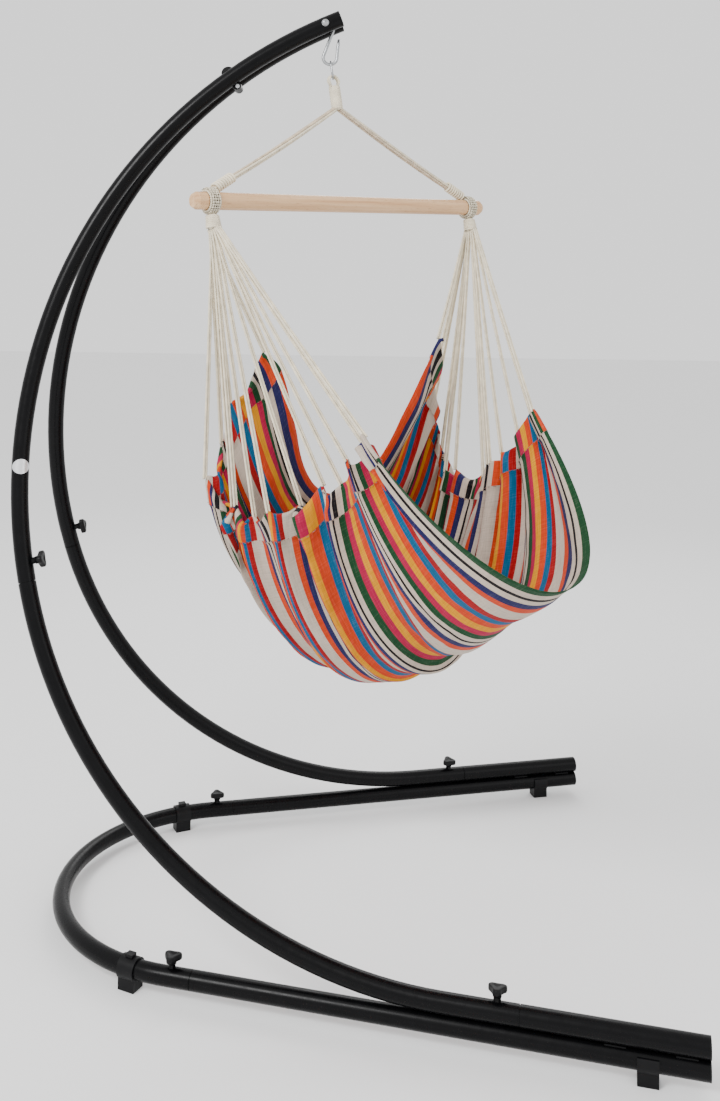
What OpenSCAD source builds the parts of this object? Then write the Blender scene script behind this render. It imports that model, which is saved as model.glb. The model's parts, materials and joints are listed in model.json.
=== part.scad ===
// Hanging hammock chair on a C-shaped tubular steel stand.
// +X runs from the stand's curved spine towards the leg tips, +Z is up, and the
// origin is on the ground under the middle of the stand. The stand's right side is -Y.

/* [Stand tubes] */
// Outer diameter of every frame tube
tube_d = 40; // [36:1:42]
// Wall thickness of every frame tube
tube_wall = 2; // [1.5:0.5:3]
// Height of the lower leg tubes' axis above the ground
leg_z = 42; // [38:1:50]
// Angle by which each leg splays outwards
splay = 13.65; // [10:0.05:16]
// Bend radius of the U-shaped rear base tube
base_r = 394; // [340:2:410]
// Length of a leg from the end of the U bend to its tip
leg_len = 1089; // [1000:1:1120]
// Length of the leg tube in front of its plug joint
leg_tube_len = 1024; // [960:1:1030]
// Length of the short tube welded on top of each leg tip
stub_len = 348; // [280:1:380]

/* [Arcs] */
// Length of the straight part on each leg, from the tip to the bend
straight_len = 499; // [480:1:560]
// Bend radius of the lower arc tubes
lower_r = 1018; // [940:1:1060]
// Swept angle of the lower arc tubes
lower_a = 73.7; // [68:0.1:76]
// Inward lean of the lower arcs
lean = 7.1; // [4:0.05:8]
// Bend radius of the upper arc tubes
upper_r = 1155; // [1100:1:1180]
// Swept angle of the upper arc tubes
upper_a = 82.6; // [80:0.1:88]
// Twist of each upper arc about its plug joint, which brings the tops together
upper_twist = 9.62; // [9:0.02:12]
// Distance from the arcs' top ends back to the hanging bolt
bolt_back = 38; // [30:1:45]
// Distance from the arcs' top ends back to the spacer between them
spacer_back = 305; // [280:5:340]

/* [Hanging gear] */
// Wire diameter of the S-hook
hook_wire = 8; // [7:0.5:9]
// Height of the S-hook's lower bend below the bolt's axis
hook_drop = 94; // [90:1:105]
// Wire diameter of the ring in the hook
ring_wire = 5; // [4:0.5:6]
// Height of the spreader bar's axis with the chair hanging plumb
bar_z = 1689; // [1660:1:1720]
// Length of the spreader bar
bar_len = 900; // [880:5:920]
// Diameter of the spreader bar
bar_d = 40; // [34:1:42]
// Distance between the two rope eyes on the bar
eye_span = 808; // [790:2:820]
// Turn of the hanging chair about its own line
chair_turn = 40; // [30:1:45]
// Swing of the chair on the bolt, forwards towards the leg tips
swing = 8.7; // [0:0.1:10]
// Swing of the chair on the hook, towards the stand's right side
side_swing = 6.1; // [0:0.1:8]

/* [Seat] */
// Thickness of the seat cloth
cloth_t = 4; // [3:0.5:5]
// Thickness of the folded hems that the cords pass through
hem_t = 9; // [7:0.5:10]
// Share of the cloth's half width that each hem takes
hem_share = 0.09; // [0.07:0.01:0.1]
// Number of suspension cords on each side
cord_count = 14; // [10:2:14]
// Radius of a suspension cord
cord_r = 2.2; // [2:0.1:2.4]
// Forward shift of the seat that puts its weight under the bar
seat_shift = 0; // [-40:1:40]

/* [Hidden] */
$fn = 48;
tube_r = tube_d / 2;
bore_r = tube_r - tube_wall;
plug_r = bore_r - 0.25;
plug_len = 70;
gap = 0.3;
seam = 0.03;
joint_gap = 1.5;
stud_r = 4;
stud_hole_r = 4.05;
knob_back = 45;
cap_t = 3;
stub_z = leg_z + tube_d + 0.6;
bolt_r = 5;
bush_r = 9;

// Base: the U bend's centre is at base_x, and the legs leave the bend as tangents.
leg_dir = [cos(splay), -sin(splay), 0];
leg_in = [sin(splay), cos(splay), 0];
tip_from_bend = leg_dir * leg_len - leg_in * base_r;

// Arc frames as [origin, x, y, z]: x runs along the tube, z points to the bend's centre.
function arc_point(f, r, a) = f[0] + f[1] * (r * sin(a)) + f[3] * (r * (1 - cos(a)));
function arc_frame(f, r, a) =
    [arc_point(f, r, a), f[1] * cos(a) + f[3] * sin(a), f[2], f[3] * cos(a) - f[1] * sin(a)];
function twisted(f, t) = [f[0], f[1], f[2] * cos(t) + f[3] * sin(t), f[3] * cos(t) - f[2] * sin(t)];
function slid(f, d) = [f[0] + f[1] * d, f[1], f[2], f[3]];
flat_frame = [[0, 0, 0], -leg_dir, -leg_in, [0, 0, 1]];
lean_frame = twisted(flat_frame, lean);
spine_x = min([for (a = [0:0.5:upper_a])
    arc_point(twisted(arc_frame(slid(lean_frame, straight_len), lower_r, lower_a), upper_twist),
              upper_r, a)[0]]) + tip_from_bend[0] - tube_r;
tip_x = tip_from_bend[0] + tube_r * sin(splay);
base_x = -(spine_x + tip_x) / 2;
leg_tip = [base_x, 0, 0] + tip_from_bend;

leg_frame = [leg_tip + [0, 0, leg_z], -leg_dir, -leg_in, [0, 0, 1]];
stub_frame = [leg_tip + [0, 0, stub_z], lean_frame[1], lean_frame[2], lean_frame[3]];
lower_bend = slid(stub_frame, straight_len);
joint_frame = arc_frame(lower_bend, lower_r, lower_a);
upper_bend = twisted(joint_frame, upper_twist);
function upper_at(a) = arc_frame(upper_bend, upper_r, a);
bolt_a = upper_a - bolt_back / upper_r * 180 / PI;
spacer_a = upper_a - spacer_back / upper_r * 180 / PI;
bolt_frame = upper_at(bolt_a);
spacer_frame = upper_at(spacer_a);
bolt_x = bolt_frame[0][0];
bolt_z = bolt_frame[0][2];
bolt_y = -bolt_frame[0][1];
hook_z = bolt_z - hook_drop;
bush_len = 2 * (bolt_y - tube_r) - 0.2;

// Thumb screw places, as [frame, turn about the tube]: the screw points along the turned z.
rear_screw = slid(leg_frame, leg_tube_len + knob_back);
front_screw = slid(stub_frame, stub_len + knob_back);
middle_a = knob_back / upper_r * 180 / PI;
middle_screw = upper_at(middle_a);

// Seat, hanging plumb: u runs along the bar, f forwards to the free edge, z is the height.
hem_back = [263, -43, 1380];
hem_rear = [361, -163, 1030];
hem_low = [304, 15, 1007];
hem_front = [270, 238, 1140];
mid_back = [0, -239, 1014];
mid_low = [0, -160, 586];
mid_front = [0, 517, 791];
seat_belly = -0.04;
// A smooth curve through four hem points, and one through three points of the middle line.
function lagrange4(p, t, k) =
    p[0] * ((t - k[1]) * (t - k[2]) * (t - k[3])) / ((k[0] - k[1]) * (k[0] - k[2]) * (k[0] - k[3]))
    + p[1] * ((t - k[0]) * (t - k[2]) * (t - k[3])) / ((k[1] - k[0]) * (k[1] - k[2]) * (k[1] - k[3]))
    + p[2] * ((t - k[0]) * (t - k[1]) * (t - k[3])) / ((k[2] - k[0]) * (k[2] - k[1]) * (k[2] - k[3]))
    + p[3] * ((t - k[0]) * (t - k[1]) * (t - k[2])) / ((k[3] - k[0]) * (k[3] - k[1]) * (k[3] - k[2]));
function lagrange3(p, t) =
    p[0] * (2 * (t - 0.5) * (t - 1)) - p[1] * (4 * t * (t - 1)) + p[2] * (2 * t * (t - 0.5));
function hem_line(a) = lagrange4([hem_back, hem_rear, hem_low, hem_front], a, [0, 0.34, 0.6, 1]);
function mid_line(a) = lagrange3([mid_back, mid_low, mid_front], a);
// Seat point at a (0 back edge to 1 front edge) and b (-1 right hem to 1 left hem).
function seat_point(a, b) =
    let (h = hem_line(a), m = mid_line(a), s = 1 - cos(90 * abs(b)),
         belly = 1 + seat_belly * sin(180 * abs(b)) * (0.4 + 0.6 * a))
    [h[0] * sin(90 * b) * belly, -(m[1] + (h[1] - m[1]) * s + seat_shift), m[2] + (h[2] - m[2]) * s];
function unit(v) = v / norm(v);
function seat_normal(a, b) =
    unit(cross(seat_point(a + 0.01, b) - seat_point(a - 0.01, b),
               seat_point(a, b + 0.01) - seat_point(a, b - 0.01)));

// Places children in a frame, or in its mirror image on the left side.
module in_frame(f) {
    multmatrix([
        [f[1][0], f[2][0], f[3][0], f[0][0]],
        [f[1][1], f[2][1], f[3][1], f[0][1]],
        [f[1][2], f[2][2], f[3][2], f[0][2]],
        [0, 0, 0, 1]
    ]) children();
}
module side(left) {
    if (left) mirror([0, 1, 0]) children();
    else children();
}
module both_sides() {
    side(false) children();
    side(true) children();
}
module along_x(len, r) {
    rotate([0, 90, 0]) cylinder(h = len, r = r);
}
module along_y(len, r) {
    rotate([90, 0, 0]) cylinder(h = len, r = r, center = true);
}
module straight_tube(len) {
    difference() {
        along_x(len, tube_r);
        translate([-1, 0, 0]) along_x(len + 2, bore_r);
    }
}
// Bent tube that starts at the origin along +X and curves towards +Z.
module bent_bar(r, a, bar_r) {
    multmatrix([[0, 1, 0, 0], [0, 0, -1, 0], [-1, 0, 0, r], [0, 0, 0, 1]])
        rotate_extrude(angle = a, $fn = 96) translate([r, 0]) circle(r = bar_r);
}
module bent_tube(r, a) {
    multmatrix([[0, 1, 0, 0], [0, 0, -1, 0], [-1, 0, 0, r], [0, 0, 0, 1]])
        rotate_extrude(angle = a, $fn = 96) translate([r, 0]) difference() {
            circle(r = tube_r);
            circle(r = bore_r);
        }
}
// Reduced end of a tube that plugs into its neighbour, pointing along +X.
module plug() {
    difference() {
        union() {
            translate([-10, 0, 0]) along_x(8, tube_r - tube_wall / 2);
            translate([-4, 0, 0]) along_x(plug_len + 4, plug_r);
        }
        translate([-11, 0, 0]) along_x(plug_len + 12, plug_r - tube_wall);
    }
}
// The same, for a plug that follows the bend of the upper arc.
module bent_plug() {
    difference() {
        union() {
            translate([-10, 0, 0]) along_x(8, tube_r - tube_wall / 2);
            translate([-4, 0, 0]) along_x(4 + seam, plug_r);
        }
        translate([-11, 0, 0]) along_x(12, plug_r - tube_wall);
    }
    rotate([upper_twist, 0, 0]) difference() {
        bent_bar(upper_r, plug_len / upper_r * 180 / PI, plug_r - 0.02);
        bent_bar(upper_r, 90, plug_r - tube_wall - 0.02);
    }
}
// Ring inside the tube wall that makes a straight and a bent stretch one piece.
module wall_ring() {
    translate([-2, 0, 0]) difference() {
        along_x(4, tube_r - tube_wall / 4);
        translate([-1, 0, 0]) along_x(6, bore_r + tube_wall / 4);
    }
}
module stud_hole(r) {
    cylinder(h = tube_d, r = r);
}
// Where a screw's axis comes out of each joint's outer tube.
module at_rear_screw() { in_frame(rear_screw) children(); }
module at_front_screw() { in_frame(front_screw) children(); }
module at_middle_screw() { in_frame(middle_screw) children(); }

module base_u_tube() color([0.09, 0.09, 0.1]) difference() {
    union() {
        both_sides() {
            in_frame(slid(leg_frame, leg_tube_len + joint_gap))
                straight_tube(leg_len - leg_tube_len - joint_gap - seam);
            in_frame(slid(leg_frame, leg_len)) wall_ring();
        }
        translate([base_x, 0, leg_z]) rotate([0, 0, 90 + splay])
            rotate_extrude(angle = 180 - 2 * splay, $fn = 96) translate([base_r, 0]) difference() {
                circle(r = tube_r);
                circle(r = bore_r);
            }
    }
    both_sides() at_rear_screw() stud_hole(stud_r + 0.6);
}
module leg_tube(left) color([0.09, 0.09, 0.1]) side(left) difference() {
    union() {
        in_frame(leg_frame) straight_tube(leg_tube_len);
        in_frame(slid(leg_frame, leg_tube_len)) plug();
    }
    at_rear_screw() stud_hole(stud_r + 0.6);
}
module stub_tube(left) color([0.09, 0.09, 0.1]) side(left) difference() {
    union() {
        in_frame(stub_frame) straight_tube(stub_len);
        in_frame(slid(stub_frame, stub_len)) plug();
    }
    at_front_screw() stud_hole(stud_r + 0.6);
}
module lower_arc(left) color([0.09, 0.09, 0.1]) side(left) difference() {
    union() {
        in_frame(slid(stub_frame, stub_len + joint_gap))
            straight_tube(straight_len - stub_len - joint_gap - seam);
        in_frame(lower_bend) wall_ring();
        in_frame(lower_bend) bent_tube(lower_r, lower_a);
        in_frame(joint_frame) bent_plug();
    }
    at_front_screw() stud_hole(stud_r + 0.6);
    at_middle_screw() stud_hole(stud_r + 0.6);
}
module upper_arc(left) color([0.09, 0.09, 0.1]) side(left) difference() {
    in_frame(upper_at(joint_gap / upper_r * 180 / PI))
        bent_tube(upper_r, upper_a - joint_gap / upper_r * 180 / PI);
    at_middle_screw() stud_hole(stud_r + 0.6);
    translate([bolt_x, -bolt_y, bolt_z]) along_y(tube_d + 10, bolt_r + 0.25);
}
module weld_beads() color([0.12, 0.12, 0.12]) both_sides() {
    bead_r = 2.4;
    mid = (stub_z - leg_z) / 2;
    off = sqrt(pow(tube_r + bead_r, 2) - mid * mid) + 0.03;
    for (start = [20, 150], dy = [-off, off])
        in_frame(slid(leg_frame, start)) translate([0, dy, mid]) along_x(40, bead_r);
}
module weld_nut() {
    difference() {
        translate([0, 0, tube_r - 0.4]) cylinder(h = 7, r = 7.5, $fn = 6);
        cylinder(h = tube_d, r = stud_hole_r);
        rotate([0, 90, 0]) cylinder(h = 40, r = tube_r, center = true);
    }
}
module weld_nuts() color([0.12, 0.12, 0.12]) both_sides() {
    at_rear_screw() weld_nut();
    at_front_screw() weld_nut();
    at_middle_screw() weld_nut();
}
// Plastic plug that closes a tube end, with its face towards -X.
module tube_cap() {
    translate([-cap_t, 0, 0]) along_x(cap_t - 0.05, tube_r);
    translate([-0.1, 0, 0]) along_x(14, bore_r - 0.1);
}
module tip_caps(left) color([0.05, 0.05, 0.05]) side(left) {
    in_frame(leg_frame) tube_cap();
    in_frame(stub_frame) tube_cap();
}
module top_caps() color([0.05, 0.05, 0.05]) both_sides()
    in_frame(upper_at(upper_a + gap / upper_r * 180 / PI)) rotate([0, 0, 180]) tube_cap();

// Foot: a clip around the lower tube with a block that stands on the ground.
module foot(clip_top) color([0.05, 0.05, 0.05]) difference() {
    union() {
        translate([-20, 0, 0]) along_x(40, tube_r + 4);
        translate([-20, -17, -leg_z]) cube([40, 34, leg_z - 6]);
    }
    translate([-30, 0, 0]) along_x(60, tube_r + 0.05);
    translate([-30, -40, clip_top]) cube([60, 80, 60]);
}
module front_foot(left) side(left) in_frame(slid(leg_frame, 110)) foot(12);
module rear_foot(left) side(left) {
    foot_a = 25;
    translate([base_x - base_r * sin(foot_a), -base_r * cos(foot_a), leg_z])
        rotate([0, 0, 180 - foot_a]) {
            difference() {
                foot(60);
                translate([0, -base_r, 0]) rotate([0, 0, 78]) rotate_extrude(angle = 24, $fn = 96)
                    translate([base_r, 0]) circle(r = tube_r + 0.05);
            }
            color([0.05, 0.05, 0.05]) translate([-9, -8, tube_r + 3.9]) cube([18, 16, 6]);
        }
}

// Plastic spacer that sits between the two arcs, saddled to both, with a cross bolt below.
spacer_half = -spacer_frame[0][1];
spacer_bolt_drop = 26;
spacer_tilt = atan2(spacer_frame[1][2], spacer_frame[1][0]);
module at_spacer() {
    translate([spacer_frame[0][0], 0, spacer_frame[0][2]]) rotate([0, -spacer_tilt, 0]) children();
}
module arc_spacer() color([0.04, 0.04, 0.04]) difference() {
    at_spacer() hull() {
        translate([0, 0, 14]) along_y(2 * spacer_half - 8, 17);
        translate([0, 0, -spacer_bolt_drop + 4]) along_y(2 * spacer_half - 8, 11);
    }
    both_sides() in_frame(upper_at(spacer_a - 3)) bent_bar(upper_r, 6, tube_r + 0.05);
    at_spacer() translate([0, 0, -spacer_bolt_drop]) along_y(200, 3.05);
}
module spacer_bolt() color([0.75, 0.76, 0.78]) at_spacer() translate([0, 0, -spacer_bolt_drop]) {
    half = spacer_half - 4;
    translate([0, 4, 0]) along_y(2 * half + 12, 3);
    translate([0, -half - 2.6, 0]) along_y(5, 5);
}
module spacer_nut() color([0.75, 0.76, 0.78]) at_spacer() translate([0, 0, -spacer_bolt_drop]) {
    half = spacer_half - 4;
    translate([0, half + 3.6, 0]) difference() {
        along_y(7, 5.8, $fn = 6);
        along_y(20, 3.03);
    }
}

// Hanging bolt through both arcs; the hook rides on the bush between them.
bolt_half = bolt_y + tube_r;
module top_bolt() color([0.78, 0.79, 0.8]) translate([bolt_x, 0, bolt_z]) {
    translate([0, 6, 0]) along_y(2 * bolt_half + 14, bolt_r);
    translate([0, -bolt_half - 1.9, 0]) along_y(1.8, 8.8);
    translate([0, -bolt_half - 2.7, 0]) rotate([90, 0, 0]) difference() {
        intersection() {
            cylinder(h = 6, r = 7.6);
            translate([0, 0, -4.5]) sphere(r = 10.3);
        }
        translate([0, 0, 3]) cylinder(h = 6, r = 3.4, $fn = 6);
    }
}
module top_nut() color([0.78, 0.79, 0.8]) translate([bolt_x, bolt_half + 5.2, bolt_z]) difference() {
    union() {
        translate([0, -4, 0]) along_y(1.8, 11);
        along_y(8, 8.8, $fn = 6);
    }
    along_y(30, bolt_r + 0.03);
}
module top_bush() color([0.7, 0.71, 0.73]) translate([bolt_x, 0, bolt_z]) difference() {
    along_y(bush_len, bush_r);
    along_y(30, bolt_r + 0.05);
}
// Plain oval plate bent around the right arc.
module badge() color([0.85, 0.86, 0.88]) {
    badge_a = 13;
    intersection() {
        difference() {
            in_frame(upper_at(badge_a - 2)) bent_bar(upper_r, 4, tube_r + 0.9);
            in_frame(upper_at(badge_a - 2.5)) bent_bar(upper_r, 5, tube_r + 0.1);
        }
        in_frame(upper_at(badge_a)) rotate([-65, 0, 0]) scale([1, 1.12, 1]) cylinder(h = 40, r = 17);
    }
}

// Star knob with three arms, its axis along +Z from the tube's middle.
module knob() color([0.05, 0.05, 0.05]) {
    seat_z = tube_r + 8;
    difference() {
        union() {
            translate([0, 0, seat_z]) cylinder(h = 8, r = 9);
            translate([0, 0, seat_z + 7]) {
                cylinder(h = 12, r = 12);
                for (a = [0:120:359]) rotate([0, 0, a + 90]) translate([13, 0, 0])
                    cylinder(h = 12, r = 7.5);
            }
        }
        cylinder(h = seat_z + 14, r = stud_r);
    }
}
module stud() color([0.7, 0.71, 0.73]) translate([0, 0, tube_r - 10]) cylinder(h = 31.9, r = stud_r);

// Sweeps a round bar of the given radius along a list of points, normals kept near ref.
function path_dir(p, i) =
    unit(p[min(i + 1, len(p) - 1)] - p[max(i - 1, 0)]);
module swept_bar(p, r, sides, ref) {
    n = len(p);
    rings = [for (i = [0:n - 1])
        let (t = path_dir(p, i), a = unit(cross(t, ref)), b = cross(t, a))
        for (k = [0:sides - 1]) p[i] + (a * cos(360 * k / sides) + b * sin(360 * k / sides)) * r];
    walls = [for (i = [0:n - 2], k = [0:sides - 1])
        let (k1 = (k + 1) % sides)
        [i * sides + k, (i + 1) * sides + k, (i + 1) * sides + k1, i * sides + k1]];
    first = [for (k = [0:sides - 1]) k];
    last = [for (k = [0:sides - 1]) (n - 1) * sides + sides - 1 - k];
    polyhedron(rings, concat(walls, [first, last]));
}
// S-hook in the XZ plane; x is across the loops and z is measured from the bolt's axis.
top_loop_r = 18;
low_loop_r = 17;
top_loop_z = bush_r + hook_wire / 2 + gap - top_loop_r;
low_loop_z = low_loop_r - hook_drop;
hook_cross = asin((top_loop_r + low_loop_r) / (top_loop_z - low_loop_z));
hook_path = concat(
    [for (a = [205:-12:-hook_cross - 1])
        [top_loop_r * cos(a), 0, top_loop_z + top_loop_r * sin(a)]],
    [for (a = [180 - hook_cross:12:348])
        [low_loop_r * cos(a), 0, low_loop_z + low_loop_r * sin(a)]],
    [[low_loop_r + 4, 0, low_loop_z + 16], [low_loop_r + 11, 0, low_loop_z + 42]]
);
module swung() translate([bolt_x, 0, bolt_z]) rotate([0, -swing, 0]) children();
module s_hook() color([0.62, 0.65, 0.66])
    swung() swept_bar(hook_path, hook_wire / 2, 12, [0, 1, 0]);

// Places plumb-hanging children so that they swing sideways on the hook's lower bend.
module side_swung() swung() translate([0, 0, -hook_drop]) rotate([-side_swing, 0, 0])
    translate([-bolt_x, 0, -hook_z]) children();

// Oval ring that hangs in the hook's lower bend, in the YZ plane.
ring_half_w = 14;
ring_drop = 44;
ring_top = hook_z + hook_wire / 2 + ring_wire / 2 + gap;
module hook_ring() color([0.72, 0.74, 0.75])
    side_swung() translate([bolt_x, 0, ring_top - ring_half_w]) {
    straight = ring_drop - 2 * ring_half_w;
    rotate([0, 90, 0]) rotate([0, 0, 90]) rotate_extrude(angle = 180)
        translate([ring_half_w, 0]) circle(r = ring_wire / 2, $fn = 24);
    translate([0, 0, -straight]) rotate([0, 90, 0]) rotate([0, 0, -90]) rotate_extrude(angle = 180)
        translate([ring_half_w, 0]) circle(r = ring_wire / 2, $fn = 24);
    for (s = [-1, 1]) translate([0, s * ring_half_w, -straight])
        cylinder(h = straight, r = ring_wire / 2, $fn = 24);
}

// Everything below the ring is drawn in the chair's own frame: x along the bar, y to the back.
module in_chair() {
    side_swung() translate([bolt_x, 0, 0]) rotate([0, 0, chair_turn]) children();
}
loop_r = 4;
loop_half_w = 15;
loop_z = ring_top - ring_drop + ring_wire / 2 + loop_r + 0.5;
wrap_top = loop_z - 27.2;
wrap_len = 60;
wrap_r = 15;
module rope_loop() color([0.93, 0.9, 0.82]) in_chair() swept_bar(
    concat([[-loop_half_w + 5, 0, wrap_top + gap]],
           [for (a = [180:-15:0]) [loop_half_w * cos(a), 0, loop_z - loop_half_w * (1 - sin(a))]],
           [[loop_half_w - 5, 0, wrap_top + gap]]), loop_r, 10, [0, 1, 0]);
module loop_wrap() color([0.93, 0.9, 0.82]) in_chair()
    translate([0, 0, wrap_top - wrap_len]) cylinder(h = wrap_len, r = wrap_r);

// Straight round bar from one point to another.
module strut(p, q, r) {
    d = q - p;
    translate(p) rotate([0, acos(d[2] / norm(d)), atan2(d[1], d[0])]) cylinder(h = norm(d), r = r);
}
eye_half = eye_span / 2;
eye_in = bar_d / 2 - 1;
eye_out = bar_d / 2 + 8;
eye_w = 24;
bridle_r = 8.5;
bridle_top = [8, 0, wrap_top - wrap_len - bridle_r];
bridle_low = [eye_half - 22, 0, bar_z + eye_out + 9];
module bridle(s) color([0.93, 0.9, 0.82]) in_chair()
    strut([s * bridle_top[0], 0, bridle_top[2]], [s * bridle_low[0], 0, bridle_low[2]], bridle_r);

// Turned bar with chamfered ends and a shallow groove under each rope eye.
module spreader_bar() color([0.82, 0.65, 0.47]) in_chair() translate([0, 0, bar_z])
    rotate([0, 90, 0]) rotate_extrude($fn = 64) {
        r = bar_d / 2;
        half = bar_len / 2;
        groove = eye_w / 2 + 3;
        polygon(concat(
            [[0, -half], [r - 5, -half], [r, -half + 9]],
            [[r, -eye_half - groove], [r - 1.6, -eye_half - groove + 2]],
            [[r - 1.6, -eye_half + groove - 2], [r, -eye_half + groove]],
            [[r, eye_half - groove], [r - 1.6, eye_half - groove + 2]],
            [[r - 1.6, eye_half + groove - 2], [r, eye_half + groove]],
            [[r, half - 9], [r - 5, half], [0, half]]));
    }
// Wrapped rope eye around the bar, with rounded edges.
module rope_eye(s) color([0.93, 0.9, 0.82]) in_chair() translate([s * eye_half, 0, bar_z])
    rotate([0, 90, 0]) rotate_extrude($fn = 64) {
        mid = (eye_in + eye_out) / 2;
        half_t = (eye_out - eye_in) / 2;
        flat = eye_w / 2 - half_t;
        translate([mid, flat]) circle(r = half_t);
        translate([mid, -flat]) circle(r = half_t);
        translate([eye_in, -flat]) square([2 * half_t, 2 * flat]);
    }
neck_top = bar_z - eye_out + 3;
neck_low = bar_z - 66;
neck_r = 17;
module neck(s) color([0.93, 0.9, 0.82]) in_chair() difference() {
    translate([s * eye_half, 0, neck_low]) cylinder(h = neck_top - neck_low, r1 = neck_r, r2 = 13);
    translate([s * eye_half, 0, bar_z]) rotate([0, 90, 0])
        cylinder(h = 80, r = eye_out + 0.05, center = true);
}
// Suspension cords: they leave the neck in two rows and fan out along the hem.
module cords(s) color([0.93, 0.9, 0.82]) in_chair() {
    for (i = [0:cord_count - 1]) {
        a = 0.01 + 0.98 * i / (cord_count - 1);
        row = (i % 2) * 2 - 1;
        column = floor(i / 2) - (cord_count / 2 - 1) / 2;
        edge = seat_point(a, s);
        strut([s * eye_half + row * 3.2, -column * 5.4, neck_low - gap],
              edge + unit(edge - seat_point(a, 0.96 * s)) * 7.3, cord_r);
    }
}

// Closed shell of constant thickness over a stretch of the seat surface.
module seat_shell(a0, a1, steps_a, b0, b1, steps_b, thick) {
    na = steps_a + 1;
    nb = steps_b + 1;
    function at(side, i, j) =
        let (a = a0 + (a1 - a0) * i / steps_a, b = b0 + (b1 - b0) * j / steps_b)
        seat_point(a, b) + seat_normal(a, b) * (side * thick / 2);
    pts = [for (side = [-1, 1], i = [0:steps_a], j = [0:steps_b]) at(side, i, j)];
    function id(k, i, j) = k * na * nb + i * nb + j;
    sheet = [for (i = [0:steps_a - 1], j = [0:steps_b - 1])
        each [[id(1, i, j), id(1, i, j + 1), id(1, i + 1, j)],
              [id(1, i, j + 1), id(1, i + 1, j + 1), id(1, i + 1, j)],
              [id(0, i, j), id(0, i + 1, j), id(0, i, j + 1)],
              [id(0, i, j + 1), id(0, i + 1, j), id(0, i + 1, j + 1)]]];
    rims_b = [for (i = [0:steps_a - 1])
        each [[id(1, i, 0), id(1, i + 1, 0), id(0, i + 1, 0), id(0, i, 0)],
              [id(1, i, steps_b), id(0, i, steps_b), id(0, i + 1, steps_b), id(1, i + 1, steps_b)]]];
    rims_a = [for (j = [0:steps_b - 1])
        each [[id(1, 0, j), id(0, 0, j), id(0, 0, j + 1), id(1, 0, j + 1)],
              [id(1, steps_a, j), id(1, steps_a, j + 1), id(0, steps_a, j + 1), id(0, steps_a, j)]]];
    polyhedron(pts, concat(sheet, rims_b, rims_a));
}
// The cloth is drawn as three strips, split across from hem to hem.
module cloth_strip(part) color([0.85, 0.45, 0.3]) in_chair()
    seat_shell(part / 3 + (part > 0 ? 0.0005 : 0), (part + 1) / 3, 9,
               -1 + hem_share, 1 - hem_share, 44, cloth_t);
module hem(s) color([0.87, 0.82, 0.7]) in_chair() {
    if (s > 0) seat_shell(0, 1, 26, 1 - hem_share + 0.001, 1, 3, hem_t);
    else seat_shell(0, 1, 26, -1, -1 + hem_share - 0.001, 3, hem_t);
}

base_u_tube();
leg_tube(false);  // right_leg_tube
leg_tube(true);  // left_leg_tube
stub_tube(false);  // right_stub_tube
stub_tube(true);  // left_stub_tube
lower_arc(false);  // right_lower_arc
lower_arc(true);  // left_lower_arc
upper_arc(false);  // right_upper_arc
upper_arc(true);  // left_upper_arc
weld_beads();
weld_nuts();
tip_caps(false);  // right_tip_caps
tip_caps(true);  // left_tip_caps
top_caps();
front_foot(false);  // front_right_foot
front_foot(true);  // front_left_foot
rear_foot(false);  // rear_right_foot
rear_foot(true);  // rear_left_foot
arc_spacer();
spacer_bolt();
spacer_nut();
top_bolt();
top_nut();
top_bush();
badge();
at_rear_screw() knob();  // rear_right_knob
at_rear_screw() stud();  // rear_right_stud
side(true) at_rear_screw() knob();  // rear_left_knob
side(true) at_rear_screw() stud();  // rear_left_stud
at_front_screw() knob();  // front_right_knob
at_front_screw() stud();  // front_right_stud
side(true) at_front_screw() knob();  // front_left_knob
side(true) at_front_screw() stud();  // front_left_stud
at_middle_screw() knob();  // middle_right_knob
at_middle_screw() stud();  // middle_right_stud
side(true) at_middle_screw() knob();  // middle_left_knob
side(true) at_middle_screw() stud();  // middle_left_stud
s_hook();
hook_ring();
rope_loop();
loop_wrap();
bridle(-1);  // right_bridle
bridle(1);  // left_bridle
spreader_bar();
rope_eye(-1);  // right_eye
rope_eye(1);  // left_eye
neck(-1);  // right_neck
neck(1);  // left_neck
cords(-1);  // right_cords
cords(1);  // left_cords
cloth_strip(0);  // back_cloth
cloth_strip(1);  // seat_cloth
cloth_strip(2);  // front_cloth
hem(-1);  // right_hem
hem(1);  // left_hem
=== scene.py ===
# A striped hammock chair on a C-shaped tubular stand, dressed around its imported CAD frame.
import json
import math

import bpy
import numpy as np
from mathutils import Matrix, Vector


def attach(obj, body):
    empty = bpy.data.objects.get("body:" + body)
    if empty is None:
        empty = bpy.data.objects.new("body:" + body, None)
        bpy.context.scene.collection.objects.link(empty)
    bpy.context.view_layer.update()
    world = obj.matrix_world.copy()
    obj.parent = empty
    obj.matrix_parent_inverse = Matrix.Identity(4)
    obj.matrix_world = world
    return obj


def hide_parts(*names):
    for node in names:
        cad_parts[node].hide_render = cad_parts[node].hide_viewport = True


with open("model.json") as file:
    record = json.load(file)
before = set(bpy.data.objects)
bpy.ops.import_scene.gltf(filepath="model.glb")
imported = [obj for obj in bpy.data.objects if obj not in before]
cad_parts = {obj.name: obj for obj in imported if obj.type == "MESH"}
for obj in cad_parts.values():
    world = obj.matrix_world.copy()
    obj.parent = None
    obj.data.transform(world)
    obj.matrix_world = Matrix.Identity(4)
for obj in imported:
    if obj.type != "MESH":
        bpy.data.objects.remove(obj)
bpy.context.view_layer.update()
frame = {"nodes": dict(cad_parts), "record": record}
nodes = frame["nodes"]
TAU = 2 * math.pi

# ---------------------------------------------------------------- places, in metres, as in the CAD
BOLT = np.array([-0.0237686, 0.0, 2.140910])
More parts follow.
